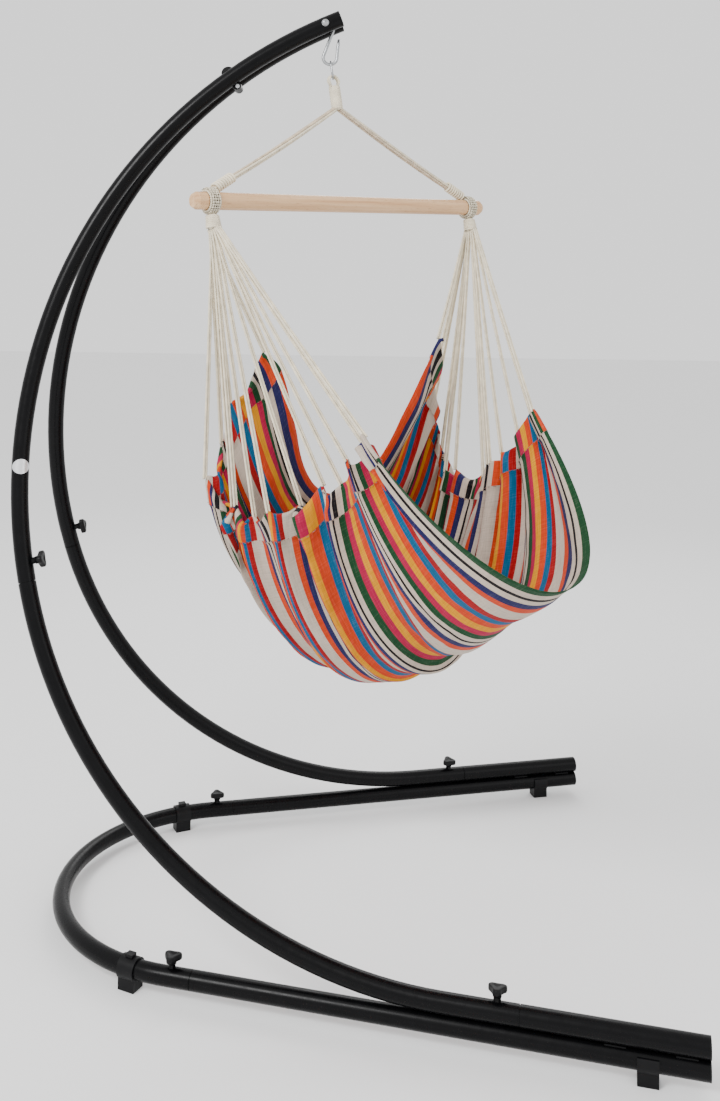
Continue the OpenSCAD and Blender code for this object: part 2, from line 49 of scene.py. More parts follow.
# How far the chair hangs from plumb, towards +X and sideways, and how far its bar is turned.
SWING, SIDE, TURN = math.radians(8.7), math.radians(-6.1), math.radians(40)
HOOK_DROP = 0.094
HOOK_LOW = BOLT[2] - HOOK_DROP
LOOP_Z = 2.01671
WRAP_TOP = LOOP_Z - 0.0272
WRAP_LEN = 0.060
BAR_Z = 1.689
BAR_R = 0.020
EYE_HALF = 0.404
EYE_OUT = BAR_R + 0.008
NECK_LOW = BAR_Z - 0.066
CORDS = 14
SUSPENSION_R = 0.0031
BRIDLE_R = 0.0036
WINDING_R = 0.0032
KNOT_R = 0.0040
THREAD_R = 0.0006
CAMERA_AT = (0.04947, -2.74695, 1.44701)
CAMERA_RIGHT = (0.99985, 0.01041, 0.01363)
CAMERA_UP = (-0.01334, -0.02804, 0.99952)
CAMERA_LENS, CAMERA_SHIFT = 36.34, (0.01817, -0.24977)


def turn_x(v, a):
    return np.stack([v[..., 0], v[..., 1] * math.cos(a) - v[..., 2] * math.sin(a),
                     v[..., 1] * math.sin(a) + v[..., 2] * math.cos(a)], -1)


def turn_y(v, a):
    """Turns points so that what hangs below the origin goes towards +X."""
    return np.stack([v[..., 0] * math.cos(a) - v[..., 2] * math.sin(a), v[..., 1],
                     v[..., 0] * math.sin(a) + v[..., 2] * math.cos(a)], -1)


def on_hook(p):
    """Points given from the bolt's axis, with the hook hanging plumb."""
    return turn_y(np.asarray(p, float), SWING) + BOLT


def on_chain(p):
    """Points of the plumb-hanging chair in stand axes, x and y from the bolt, z from the ground."""
    p = np.asarray(p, float) - [0, 0, HOOK_LOW]
    return on_hook(turn_x(p, SIDE) - [0, 0, HOOK_DROP])


def in_chair(p):
    """Points with x along the spreader bar, y to the back and z from the ground."""
    p = np.asarray(p, float)
    c, s = math.cos(TURN), math.sin(TURN)
    return on_chain(np.stack([p[..., 0] * c - p[..., 1] * s, p[..., 0] * s + p[..., 1] * c,
                              p[..., 2]], -1))


# ---------------------------------------------------------------- camera, light and floor
def set_camera():
    right, up = Vector(CAMERA_RIGHT), Vector(CAMERA_UP)
    cam = bpy.data.objects.new("camera", bpy.data.cameras.new("camera"))
    bpy.context.collection.objects.link(cam)
    rot = Matrix((right, up, right.cross(up))).transposed()
    cam.matrix_world = Matrix.Translation(CAMERA_AT) @ rot.to_4x4()
    cam.data.sensor_fit = "AUTO"
    cam.data.sensor_width = 36
    cam.data.lens = CAMERA_LENS
    cam.data.shift_x, cam.data.shift_y = CAMERA_SHIFT
    cam.data.clip_start = 0.05
    bpy.context.scene.camera = cam


def area_light(name, at, target, size, power):
    lamp = bpy.data.lights.new(name, "AREA")
    lamp.shape = "SQUARE"
    lamp.size = size
    lamp.energy = power
    ob = bpy.data.objects.new(name, lamp)
    bpy.context.collection.objects.link(ob)
    ob.location = at
    ob.rotation_euler = (Vector(target) - Vector(at)).to_track_quat("-Z", "Y").to_euler()


def set_stage():
    world = bpy.data.worlds.new("studio")
    world.use_nodes = True
    bg = world.node_tree.nodes["Background"]
    bg.inputs["Color"].default_value = (1.0, 1.0, 1.0, 1)
    bg.inputs["Strength"].default_value = 1.35
    bpy.context.scene.world = world
    area_light("key", (-2.2, -3.0, 3.6), (0, 0, 0.9), 1.4, 165)
    area_light("fill", (3.0, -2.2, 2.4), (0, 0, 1.0), 2.4, 20)
    area_light("back", (0.5, 3.4, 3.2), (0, 0, 1.2), 2.0, 50)
    mesh = bpy.data.meshes.new("floor")
    mesh.from_pydata([(-30, -30, 0), (30, -30, 0), (30, 30, 0), (-30, 30, 0)], [], [(0, 1, 2, 3)])
    floor = bpy.data.objects.new("floor", mesh)
    bpy.context.collection.objects.link(floor)
    mat = bpy.data.materials.new("floor_white")
    mat.use_nodes = True
    nt = mat.node_tree
    bsdf = nt.nodes["Principled BSDF"]
    bsdf.inputs["Roughness"].default_value = 0.9
    blotch = nt.nodes.new("ShaderNodeTexNoise")
    blotch.inputs["Scale"].default_value = 2.0
    tones = nt.nodes.new("ShaderNodeValToRGB")
    tones.color_ramp.elements[0].color = (0.86, 0.86, 0.86, 1)
    tones.color_ramp.elements[1].color = (0.90, 0.90, 0.90, 1)
    nt.links.new(blotch.outputs["Fac"], tones.inputs["Fac"])
    nt.links.new(tones.outputs["Color"], bsdf.inputs["Base Color"])
    mesh.materials.append(mat)


# ---------------------------------------------------------------- materials
def new_material(name, rough, metal=0.0, coat=0.0, sheen=0.0, specular=0.5):
    mat = bpy.data.materials.new(name)
    mat.use_nodes = True
    bsdf = mat.node_tree.nodes["Principled BSDF"]
    bsdf.inputs["Roughness"].default_value = rough
    bsdf.inputs["Metallic"].default_value = metal
    bsdf.inputs["Coat Weight"].default_value = coat
    bsdf.inputs["Coat Roughness"].default_value = 0.2
    bsdf.inputs["Sheen Weight"].default_value = sheen
    bsdf.inputs["Specular IOR Level"].default_value = specular
    return mat, mat.node_tree, bsdf


def add(nt, kind, **inputs):
    node = nt.nodes.new(kind)
    for key, value in inputs.items():
        node.inputs[key.replace("_", " ")].default_value = value
    return node


def coords(nt, kind, scale=(1, 1, 1), rotation=(0, 0, 0)):
    tex = nt.nodes.new("ShaderNodeTexCoord")
    mapping = nt.nodes.new("ShaderNodeMapping")
    mapping.inputs["Scale"].default_value = scale
    mapping.inputs["Rotation"].default_value = rotation
    nt.links.new(tex.outputs[kind], mapping.inputs["Vector"])
    return mapping.outputs["Vector"]


def noise(nt, vector, scale, detail=3.0, rough=0.5):
    node = add(nt, "ShaderNodeTexNoise", Scale=scale, Detail=detail, Roughness=rough)
    nt.links.new(vector, node.inputs["Vector"])
    return node.outputs["Fac"]


def ramp(nt, fac, stops):
    node = nt.nodes.new("ShaderNodeValToRGB")
    els = node.color_ramp.elements
    while len(els) < len(stops):
        els.new(0.5)
    for el, (pos, color) in zip(els, stops):
        el.position = pos
        el.color = (*color, 1)
    nt.links.new(fac, node.inputs["Fac"])
    return node.outputs["Color"]


def multiply(nt, color, factor):
    node = nt.nodes.new("ShaderNodeMix")
    node.data_type = "RGBA"
    node.blend_type = "MULTIPLY"
    node.inputs[0].default_value = 1.0
    nt.links.new(color, node.inputs[6])
    nt.links.new(factor, node.inputs[7])
    return node.outputs[2]


def bump(nt, bsdf, height, strength, distance, under=None):
    node = add(nt, "ShaderNodeBump", Strength=strength, Distance=distance)
    nt.links.new(height, node.inputs["Height"])
    if under is not None:
        nt.links.new(under, node.inputs["Normal"])
    nt.links.new(node.outputs["Normal"], bsdf.inputs["Normal"])
    return node.outputs["Normal"]


def shade(color, factor):
    return tuple(min(c * factor, 1.0) for c in color)


def mottled(name, color, rough, spread=0.15, scale=60, grain=900, depth=0.0001, strength=0.3, **kw):
    """A surface with soft colour variation, uneven gloss and a fine grain."""
    mat, nt, bsdf = new_material(name, rough, **kw)
    vec = coords(nt, "Object")
    blotch = noise(nt, vec, scale, 4)
    tones = [(0.3, shade(color, 1 - spread)), (0.7, shade(color, 1 + spread))]
    nt.links.new(ramp(nt, blotch, tones), bsdf.inputs["Base Color"])
    low, high = rough * 0.85, min(rough * 1.2, 1)
    nt.links.new(ramp(nt, noise(nt, vec, scale * 2.3, 2), [(0.3, (low,) * 3), (0.7, (high,) * 3)]),
                 bsdf.inputs["Roughness"])
    bump(nt, bsdf, noise(nt, vec, grain, 2), strength, depth)
    return mat


BEIGE = (0.50, 0.42, 0.345)
STRIPE_COLORS = {
    "beige": BEIGE, "orange": (0.53, 0.043, 0.007), "navy": (0.013, 0.013, 0.075),
    "black": (0.005, 0.004, 0.006), "green": (0.006, 0.048, 0.016), "pink": (0.36, 0.006, 0.048),
    "yellow": (0.62, 0.25, 0.001), "blue": (0.002, 0.09, 0.20), "red": (0.30, 0.002, 0.005),
}


def woven(name, color):
    """Plain cotton canvas: threads both ways, slubs, and pale fibres over the dyed yarn."""
    mat, nt, bsdf = new_material(name, 0.95, sheen=0.06, specular=0.12)
    bsdf.inputs["Sheen Roughness"].default_value = 0.6
    warp = noise(nt, coords(nt, "UV", (520, 26, 1)), 1.0, 2)
    weft = noise(nt, coords(nt, "UV", (26, 420, 1)), 1.0, 2)
    both = add(nt, "ShaderNodeMath")
    both.operation = "ADD"
    nt.links.new(warp, both.inputs[0])
    nt.links.new(weft, both.inputs[1])
    half = add(nt, "ShaderNodeMath")
    half.operation = "MULTIPLY"
    half.inputs[1].default_value = 0.5
    nt.links.new(both.outputs[0], half.inputs[0])
    pale = tuple(c + (b - c) * 0.07 for c, b in zip(shade(color, 1.12), BEIGE))
    dyed = ramp(nt, half.outputs[0], [(0.36, shade(color, 0.8)), (0.52, color), (0.66, pale)])
    fade = noise(nt, coords(nt, "UV", (6, 6, 1)), 1.0, 3)
    faded = ramp(nt, fade, [(0.3, (0.9, 0.9, 0.9)), (0.7, (1, 1, 1))])
    nt.links.new(multiply(nt, dyed, faded), bsdf.inputs["Base Color"])
    creases = noise(nt, coords(nt, "UV", (26, 7, 1)), 1.0, 2)
    bump(nt, bsdf, half.outputs[0], 0.55, 0.0012, bump(nt, bsdf, creases, 0.5, 0.006))
    return mat


def scaled(nt, vector, scale):
    node = nt.nodes.new("ShaderNodeMapping")
    node.inputs["Scale"].default_value = scale
    nt.links.new(vector, node.inputs["Vector"])
    return node.outputs["Vector"]


def make_beech():
    """Growth rings stretched along the bar, with short dark flecks."""
    mat, nt, bsdf = new_material("beech", 0.42, coat=0.15)
    axis = in_chair([1, 0, BAR_Z]) - in_chair([0, 0, BAR_Z])
    tex = nt.nodes.new("ShaderNodeTexCoord")
    turned = nt.nodes.new("ShaderNodeMapping")
    turned.vector_type = "TEXTURE"
    turned.inputs["Rotation"].default_value = (
        Vector((1, 0, 0)).rotation_difference(Vector(axis)).to_euler())
    nt.links.new(tex.outputs["Object"], turned.inputs["Vector"])
    along = turned.outputs["Vector"]
    grain = noise(nt, scaled(nt, along, (2.2, 60, 60)), 1.6, 6, 0.65)
    flecks = noise(nt, scaled(nt, along, (60, 620, 620)), 1.0, 2)
    wood = ramp(nt, grain, [(0.3, (0.48, 0.25, 0.11)), (0.5, (0.63, 0.38, 0.19)),
                            (0.7, (0.72, 0.47, 0.26))])
    dark = ramp(nt, flecks, [(0.28, (0.62, 0.52, 0.44)), (0.36, (1, 1, 1))])
    nt.links.new(multiply(nt, wood, dark), bsdf.inputs["Base Color"])
    bump(nt, bsdf, grain, 0.2, 0.0004)
    return mat


def make_materials():
    m = {}
    m["black_coating"] = mottled("black_coating", (0.002, 0.002, 0.0024), 0.27, 0.2, 30, 900,
                                 0.00002, 0.05, specular=0.12)
    m["black_plastic"] = mottled("black_plastic", (0.003, 0.003, 0.0035), 0.42, 0.2, 40, 1600,
                                 0.0001, 0.3, specular=0.16)
    m["zinc_steel"] = mottled("zinc_steel", (0.38, 0.39, 0.40), 0.36, 0.12, 120, 1400, 0.00006, 0.3,
                              metal=1.0)
    m["badge_plate"] = mottled("badge_plate", (0.78, 0.79, 0.81), 0.3, 0.05, 80, 1200, 0.00003, 0.3,
                               metal=0.8)
    m["cotton_rope"] = mottled("cotton_rope", (0.78, 0.70, 0.54), 0.92, 0.14, 55, 1500, 0.0006, 0.6,
                               sheen=0.1, specular=0.15)
    # The rope colour darkened: painted shade for the shadow side of the bridle bundle, not a
    # different cord.
    m["cotton_painted_shade"] = mottled("cotton_painted_shade", (0.66, 0.54, 0.40), 0.92, 0.2, 70, 1500,
                                0.0006, 0.6, sheen=0.1, specular=0.15)
    m["thread"] = mottled("thread", (0.30, 0.20, 0.17), 0.85, 0.2, 300, 2500, 0.0002, 0.4)
    m["beech"] = make_beech()
    for key, color in STRIPE_COLORS.items():
        m["stripe_" + key] = woven("stripe_" + key, color)
    return m


# ---------------------------------------------------------------- mesh helpers
def make_object(name, verts, faces, mats, body, replaced=(), face_mats=None, uvs=None):
    mesh = bpy.data.meshes.new(name)
    mesh.from_pydata([tuple(v) for v in verts], [], faces)
    for mat in mats:
        mesh.materials.append(mat)
    if face_mats is not None:
        mesh.polygons.foreach_set("material_index", face_mats)
    if uvs is not None:
        layer = mesh.uv_layers.new(name="UVMap")
        loops = np.empty(len(mesh.loops), dtype=np.int32)
        mesh.loops.foreach_get("vertex_index", loops)
        layer.data.foreach_set("uv", np.asarray(uvs, float)[loops].ravel())
    mesh.polygons.foreach_set("use_smooth", [True] * len(mesh.polygons))
    mesh.update()
    ob = bpy.data.objects.new(name, mesh)
    bpy.context.collection.objects.link(ob)
    if body:
        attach(ob, body)
    if replaced:
        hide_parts(*replaced)
    return ob


class Shape:
    """Gathers several tubes into one mesh."""

    def __init__(self):
        self.verts, self.faces, self.mats = [], [], []

    def tube(self, path, radius, sides=9, lobes=0, depth=0.0, pitch=0.02, mat=0, phase=0.0):
        """Sweeps a round or lobed section, which may twist, along a path."""
        path = np.asarray(path, float)
        n = len(path)
        radius = np.broadcast_to(np.asarray(radius, float), (n,))
        d = np.gradient(path, axis=0)
        d /= np.linalg.norm(d, axis=1)[:, None]
        ref = np.array([0, 0, 1.0]) if abs(d[0][2]) < 0.9 else np.array([0, 1.0, 0])
        a = np.cross(d[0], ref)
        a /= np.linalg.norm(a)
        run = np.r_[0, np.cumsum(np.linalg.norm(np.diff(path, axis=0), axis=1))]
        base = len(self.verts)
        ang = np.arange(sides) * TAU / sides
        for i in range(n):
            a = a - d[i] * a.dot(d[i])
            a /= np.linalg.norm(a)
            b = np.cross(d[i], a)
            turn = TAU * run[i] / pitch + phase if lobes else 0.0
            r = radius[i]
            if lobes:
                r = r * (1 - depth + depth * np.abs(np.cos(lobes * ang / 2)))
            c, s = np.cos(ang + turn), np.sin(ang + turn)
            wide = np.broadcast_to(r, (sides,))[:, None]
            ring = path[i] + (c[:, None] * a + s[:, None] * b) * wide
            self.verts.extend(ring.tolist())
        for i in range(n - 1):
            for k in range(sides):
                k1 = (k + 1) % sides
                p, q = base + i * sides, base + (i + 1) * sides
                self.faces.append((p + k, p + k1, q + k1, q + k))
                self.mats.append(mat)
        self.faces.append(tuple(base + k for k in reversed(range(sides))))
        self.faces.append(tuple(base + (n - 1) * sides + k for k in range(sides)))
        self.mats.extend([mat, mat])

    def make(self, name, mats, body, replaced=()):
        return make_object(name, self.verts, self.faces, mats, body, replaced, self.mats)


def line(p, q, step):
    p, q = np.asarray(p, float), np.asarray(q, float)
    n = max(2, int(np.linalg.norm(q - p) / step) + 1)
    return p + (q - p) * np.linspace(0, 1, n)[:, None]


def smooth_path(points, per=8):
    """Catmull-Rom curve through points."""
    p = np.asarray(points, float)
    p = np.vstack([2 * p[0] - p[1], p, 2 * p[-1] - p[-2]])
    out = []
    for i in range(1, len(p) - 2):
        for t in np.linspace(0, 1, per, endpoint=False):
            out.append(0.5 * (2 * p[i] + (p[i + 1] - p[i - 1]) * t
                              + (2 * p[i - 1] - 5 * p[i] + 4 * p[i + 1] - p[i + 2]) * t ** 2
                              + (3 * p[i] - p[i - 1] - 3 * p[i + 1] + p[i + 2]) * t ** 3))
    out.append(p[-2])
    return np.array(out)


# ---------------------------------------------------------------- seat surface, as in the CAD
HEM = np.array([[0.263, -0.043, 1.380], [0.361, -0.163, 1.030], [0.304, 0.015, 1.007],
                [0.270, 0.238, 1.140]])
HEM_AT = (0, 0.34, 0.6, 1)
MID = np.array([[0, -0.239, 1.014], [0, -0.160, 0.586], [0, 0.517, 0.791]])
BELLY = -0.04


def hem_line(a):
    a = np.asarray(a, float)
    out = 0
    for i in range(4):
        w = np.ones_like(a)
        for j in range(4):
            if j != i:
                w = w * (a - HEM_AT[j]) / (HEM_AT[i] - HEM_AT[j])
        out = out + w[..., None] * HEM[i]
    return out


def mid_line(a):
    a = np.asarray(a, float)[..., None]
    return MID[0] * 2 * (a - 0.5) * (a - 1) - MID[1] * 4 * a * (a - 1) + MID[2] * 2 * a * (a - 0.5)


def seat_point(a, b):
    """Plumb chair coordinates at a (0 back edge to 1 front edge) and b (-1 right to 1 left hem)."""
    a, b = np.broadcast_arrays(np.asarray(a, float), np.asarray(b, float))
    h, m = hem_line(a), mid_line(a)
    s = 1 - np.cos(math.pi / 2 * np.abs(b))
    belly = 1 + BELLY * np.sin(math.pi * np.abs(b)) * (0.4 + 0.6 * a)
    return np.stack([h[..., 0] * np.sin(math.pi / 2 * b) * belly,
                     -(m[..., 1] + (h[..., 1] - m[..., 1]) * s),
                     m[..., 2] + (h[..., 2] - m[..., 2]) * s], -1)


# ---------------------------------------------------------------- the cloth
REPEAT = [("orange", 13), ("navy", 12), ("beige", 10), ("black", 2), ("beige", 10), ("green", 13),
          ("pink", 11), ("yellow", 12), ("orange", 13), ("blue", 13), ("red", 12), ("beige", 29)]
STRIPES = REPEAT * 8 + REPEAT[:6]
FLAT_WIDTH = sum(w for _, w in STRIPES) / 1000
FLAT_LENGTH = 1.18
HEM_DEEP = 0.062
ROWS = 104
CAP = 0.045
PLEATS = 10
PLEAT_SIDE, PLEAT_DEPTH = 0.017, 0.030
RUFFLE = 0.011
BACK_DRAWN = 0.058
HEM_THICK, CLOTH_SHARE = 0.0072, 0.24
# Creases: depth, width, how far they wander in widths, over what length, and where they start.
CREASES = [(0.0030, 0.097, 0.40, 0.90, 0.16), (0.0024, 0.061, 0.55, 0.66, 0.42),
           (0.0016, 0.038, 0.80, 1.25, 0.73)]
SIM_FRAMES = 45


def cloth_grid():
    """Columns across the stripes, with a column on each stripe's edge, and rows from hem to hem."""
    xs, colors = [0.0], []
    for color, width in STRIPES:
        parts = 1 if width < 20 else 2
        for _ in range(parts):
            xs.append(xs[-1] + width / 1000 / parts)
            colors.append(color)
    return np.array(xs), colors


def cord_a(i):
    return 0.01 + 0.98 * i / (CORDS - 1)


HEM_WAVE = [0.0, 0.018, -0.012, 0.012, -0.016, 0.010, -0.012, 0.006, -0.006, 0.012, -0.008,
            0.010, -0.004, 0.0]


def hem_pull(i, s):
    """How far cord i's hem point stands from the smooth hem line: out, forwards and up."""
    w = HEM_WAVE[i] if s < 0 else HEM_WAVE[(i + 3) % CORDS if 0 < i < CORDS - 1 else i]
    return np.array([0.5 * w * s, 0.25 * w, w])


def make_cloth(mats):
    xs, colors = cloth_grid()
    na, nb = len(xs), ROWS + 1
    a = xs / FLAT_WIDTH
    b = np.linspace(-1, 1, nb)
    A, B = np.meshgrid(a, b, indexing="ij")
    start = seat_point(A, B)
    eps = 1e-3
    du = seat_point(np.clip(A + eps, 0, 1), B) - seat_point(np.clip(A - eps, 0, 1), B)
    dv = seat_point(A, np.clip(B + eps, -1, 1)) - seat_point(A, np.clip(B - eps, -1, 1))
    normal = np.cross(du, dv)
    normal /= np.linalg.norm(normal, axis=-1)[..., None]
    # The back edge hangs in a narrower bow than the cloth in front of it.
    drawn = 1 - np.exp(-(1 - np.abs(B)) * FLAT_LENGTH / 2 / 0.05)
    drawn = drawn * np.clip(np.abs(B) * 1.6, 0, 1) * np.clip(1 - A / 0.22, 0, 1) ** 1.5
    start = start - np.stack([np.sign(B) * BACK_DRAWN * drawn, 0 * A, 0 * A], -1)
    # Deep pleats with broad outer folds and narrow creases start at each hem and open away from it.
    tangent = du / np.linalg.norm(du, axis=-1)[..., None]
    for s, seed in ((-1, 11), (1, 5)):
        rng = np.random.default_rng(seed)
        knots = np.linspace(0, 1, PLEATS + 1)
        knots[1:-1] += rng.uniform(-0.3, 0.3, PLEATS - 1) / PLEATS
        tall = rng.uniform(0.55, 1.0, PLEATS + 1)
        reach = rng.uniform(0.26, 0.50, PLEATS + 1)
        phase = np.interp(A, knots, np.arange(PLEATS + 1))
        away = np.clip(1 - s * B, 0, 2) * FLAT_LENGTH / 2
        far = np.interp(phase, np.arange(PLEATS + 1), reach)
        fade = np.interp(phase, np.arange(PLEATS + 1), tall) * np.exp(-(away / far) ** 1.6)
        fade = fade * np.clip(np.minimum(A, 1 - A) / 0.05, 0, 1) ** 0.5
        ang = TAU * phase
        start = start + tangent * (PLEAT_SIDE * np.sin(ang) * fade)[..., None] \
            + normal * (PLEAT_DEPTH * np.cos(ang) * fade)[..., None]
        # The hem's edge ruffles between its cords.
        t = np.clip((A - 0.01) / 0.98 * (CORDS - 1), 0, CORDS - 1)
        edge = np.exp(-(away / 0.05) ** 2)
        start = start - [0, 0, 1] * (RUFFLE * np.sin(math.pi * t)[..., None] ** 2 * edge[..., None])
        pull = np.array([hem_pull(i, s) for i in range(CORDS)])
        p = np.stack([np.interp(t, np.arange(CORDS), pull[:, c]) for c in range(3)], -1)
        start = start + p * np.exp(-(away / 0.10) ** 2)[..., None]
    world = in_chair(start)
    idx = np.arange(na * nb).reshape(na, nb)
    faces = np.stack([idx[:-1, :-1], idx[1:, :-1], idx[1:, 1:], idx[:-1, 1:]], -1).reshape(-1, 4)
    order = ["beige", "orange", "navy", "black", "green", "pink", "yellow", "blue", "red"]
    # The hem is folded over, so its stripes don't quite meet the cloth's.
    face_mats = np.tile(np.array([order.index(c) for c in colors])[:, None], (1, nb - 1))
    hem_rows = int(round(HEM_DEEP / FLAT_LENGTH * (nb - 1)))
    face_mats[:, :hem_rows] = np.roll(face_mats[:, :hem_rows], 1, axis=0)
    face_mats[:, -hem_rows:] = np.roll(face_mats[:, -hem_rows:], -1, axis=0)
    face_mats = face_mats.ravel()
    flat = np.stack([A * FLAT_WIDTH, (B + 1) / 2 * FLAT_LENGTH], -1).reshape(-1, 2)
    ob = make_object("seat_cloth_sheet", world.reshape(-1, 3), faces.tolist(),
                     [mats["stripe_" + c] for c in order], None, (), face_mats.tolist(), flat)
    pins = []
    for s, row in ((-1, 0), (1, nb - 1)):
        for i in range(CORDS):
            pins.append(idx[int(np.argmin(np.abs(a - cord_a(i)))), row])
    drape(ob, world.reshape(-1, 3), flat, [int(p) for p in pins])
    crease(ob, flat, idx)
    finish_cloth(ob, idx)
    co = cloth_points(ob)
    ends = {s: to_chair(co[pins[k:k + CORDS]]) for s, k in ((-1, 0), (1, CORDS))}
    return ob, idx, ends


def drape(ob, world, flat, pins):
    """Lets the cut sheet hang from its cords under gravity, then keeps the result."""
    ob.shape_key_add(name="Basis")
    rest = ob.shape_key_add(name="flat")
    pts = np.column_stack([flat, np.zeros(len(flat))])
    rest.data.foreach_set("co", pts.ravel())
    rest.value = 0.0
    group = ob.vertex_groups.new(name="pins")
    group.add(pins, 1.0, "REPLACE")
    mod = ob.modifiers.new("Cloth", "CLOTH")
    cs = mod.settings
    cs.quality = 7
    cs.mass = 0.25
    cs.tension_stiffness = 25
    cs.compression_stiffness = 20
    cs.shear_stiffness = 6
    cs.bending_stiffness = 0.4
    cs.tension_damping = 8
    cs.compression_damping = 8
    cs.shear_damping = 8
    cs.bending_damping = 0.5
    cs.air_damping = 6
    cs.vertex_group_mass = "pins"
    cs.rest_shape_key = rest
    mod.collision_settings.use_collision = False
    mod.collision_settings.use_self_collision = False
    mod.point_cache.frame_start = 1
    mod.point_cache.frame_end = SIM_FRAMES
    scene = bpy.context.scene
    for f in range(1, SIM_FRAMES + 1):
        scene.frame_set(f)
    deps = bpy.context.evaluated_depsgraph_get()
    done = ob.evaluated_get(deps).data
    co = np.empty(len(done.vertices) * 3)
    done.vertices.foreach_get("co", co)
    co = co.reshape(-1, 3)
    move = co - world
    dist = np.linalg.norm(move, axis=1)
    print("cloth moved mean %.1f max %.1f mm" % (dist.mean() * 1000, dist.max() * 1000))
    # The free front edge keeps its forward lip, and nothing leaves the CAD shell's space far.
    share = 1 - 0.88 * np.clip((flat[:, 0] / FLAT_WIDTH - 0.60) / 0.25, 0, 1)
    limit = np.minimum(share, CAP / np.maximum(dist, 1e-9))
    co = world + move * limit[:, None]
    ob.modifiers.remove(mod)
    ob.shape_key_clear()
    ob.vertex_groups.clear()
    ob.data.vertices.foreach_set("co", co.ravel())
    ob.data.update()
    scene.frame_set(1)


def crease(ob, flat, idx):
    """Shallow wandering creases, mostly along the stripes, that die out at the hems."""
    co = cloth_points(ob)[idx]
    normal = np.cross(np.gradient(co, axis=0), np.gradient(co, axis=1))
    normal /= np.linalg.norm(normal, axis=-1)[..., None]
    x, y = flat[:, 0][idx], flat[:, 1][idx]
    high = 0
    for depth, wide, bend, run, first in CREASES:
        wave = np.sin(TAU * (x / wide + bend * np.sin(TAU * (y / run + first))))
        patch = 0.5 + 0.5 * np.sin(TAU * (x / (4.3 * wide) + y / (0.8 * run) + first))
        high = high + depth * patch * (1 - np.abs(wave) * 1.5)
    fade = np.clip((np.minimum(y, FLAT_LENGTH - y) - HEM_DEEP) / 0.08, 0, 1)
    fade = fade * np.clip(np.minimum(x, FLAT_WIDTH - x) / 0.04, 0.25, 1)
    co = co + normal * (high * fade)[..., None]
    ob.data.vertices.foreach_set("co", co.reshape(-1, 3).ravel())
    ob.data.update()


def finish_cloth(ob, idx):
    """Hem bands several layers thick, a closed thickness and a smoother surface."""
    nb = idx.shape[1]
    group = ob.vertex_groups.new(name="thick")
    b = np.linspace(0, FLAT_LENGTH, nb)
    for j in range(nb):
        deep = min(b[j], FLAT_LENGTH - b[j])
        weight = 1.0 if deep <= HEM_DEEP else CLOTH_SHARE
        group.add([int(v) for v in idx[:, j]], weight, "REPLACE")
    sub = ob.modifiers.new("Smooth", "SUBSURF")
    sub.levels = sub.render_levels = 1
    solid = ob.modifiers.new("Thickness", "SOLIDIFY")
    solid.thickness = HEM_THICK
    solid.offset = 0
    solid.vertex_group = "thick"
    solid.thickness_vertex_group = 0.0
    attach(ob, "seat")
    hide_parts("back_cloth", "seat_cloth", "front_cloth", "right_hem", "left_hem")


def cloth_points(ob):
    co = np.empty(len(ob.data.vertices) * 3)
    ob.data.vertices.foreach_get("co", co)
    return co.reshape(-1, 3)


def make_stitches(cloth, idx, mats):
    """A row of running stitches along each hem's lower edge, on both faces."""
    co = cloth_points(cloth)[idx]
    na, nb = idx.shape
    step = FLAT_LENGTH / (nb - 1)
    xs = np.linspace(0, na - 1, 340)
    for s, name in ((-1, "right_hem_stitches"), (1, "left_hem_stitches")):
        shape = Shape()
        j = (HEM_DEEP - 0.004) / step
        j = j if s < 0 else nb - 1 - j
        j0 = int(j)
        row = co[:, j0] + (co[:, j0 + 1] - co[:, j0]) * (j - j0)
        di = np.gradient(row, axis=0)
        nrm = np.cross(di, co[:, j0 + 1] - co[:, j0])
        nrm /= np.linalg.norm(nrm, axis=1)[:, None]
        for k in range(0, len(xs) - 1, 2):
            t = np.linspace(xs[k], xs[k + 1], 3)
            p = np.stack([np.interp(t, np.arange(na), row[:, c]) for c in range(3)], -1)
            q = np.stack([np.interp(t, np.arange(na), nrm[:, c]) for c in range(3)], -1)
            for face in (-1, 1):
                lift = np.array([0.0037, 0.0047, 0.0037])[:, None] * face
                shape.tube(p + q * lift, THREAD_R, 4)
        shape.make(name, [mats["thread"]], "seat")


# ---------------------------------------------------------------- ropes and cords
def to_chair(p):
    """World points back in the chair's own plumb axes."""
    c, s = math.cos(TURN), math.sin(TURN)
    v = turn_y(np.asarray(p, float) - BOLT, -SWING) + [0, 0, HOOK_DROP]
    v = turn_x(v, -SIDE) + [0, 0, HOOK_LOW]
    return np.stack([v[..., 0] * c + v[..., 1] * s, -v[..., 0] * s + v[..., 1] * c, v[..., 2]], -1)


def make_side_cords(s, name, mats, ends):
    """Fourteen pairs of twisted cords from the neck to the hem."""
    shape = Shape()
    for i in range(CORDS):
        row = (i % 2) * 2 - 1
        column = i // 2 - (CORDS / 2 - 1) / 2
        top = np.array([s * EYE_HALF + row * 0.0032, -column * 0.0054, NECK_LOW + 0.004])
        end = ends[i]
        along = (end - top) / np.linalg.norm(end - top)
        side = np.cross(along, [0, 1.0, 0])
        side /= np.linalg.norm(side)
        for k in (-1, 1):  # the two cords of the pair
            spread = side * 0.0033 * k
            pts = line(top + spread * 0.6, end + spread + along * 0.006, 0.0034)
            ripple = np.linspace(0, 1, len(pts))
            pts = pts + np.outer(np.sin(ripple * math.pi), [0, 0, -0.003 - 0.002 * (i % 3)])
            shape.tube(in_chair(pts), SUSPENSION_R, 9, 3, 0.26, 0.015, 0, i * 0.7 + k)
    names = "right" if s < 0 else "left"
    shape.make(name, [mats["cotton_rope"]], "seat", [names + "_cords"])


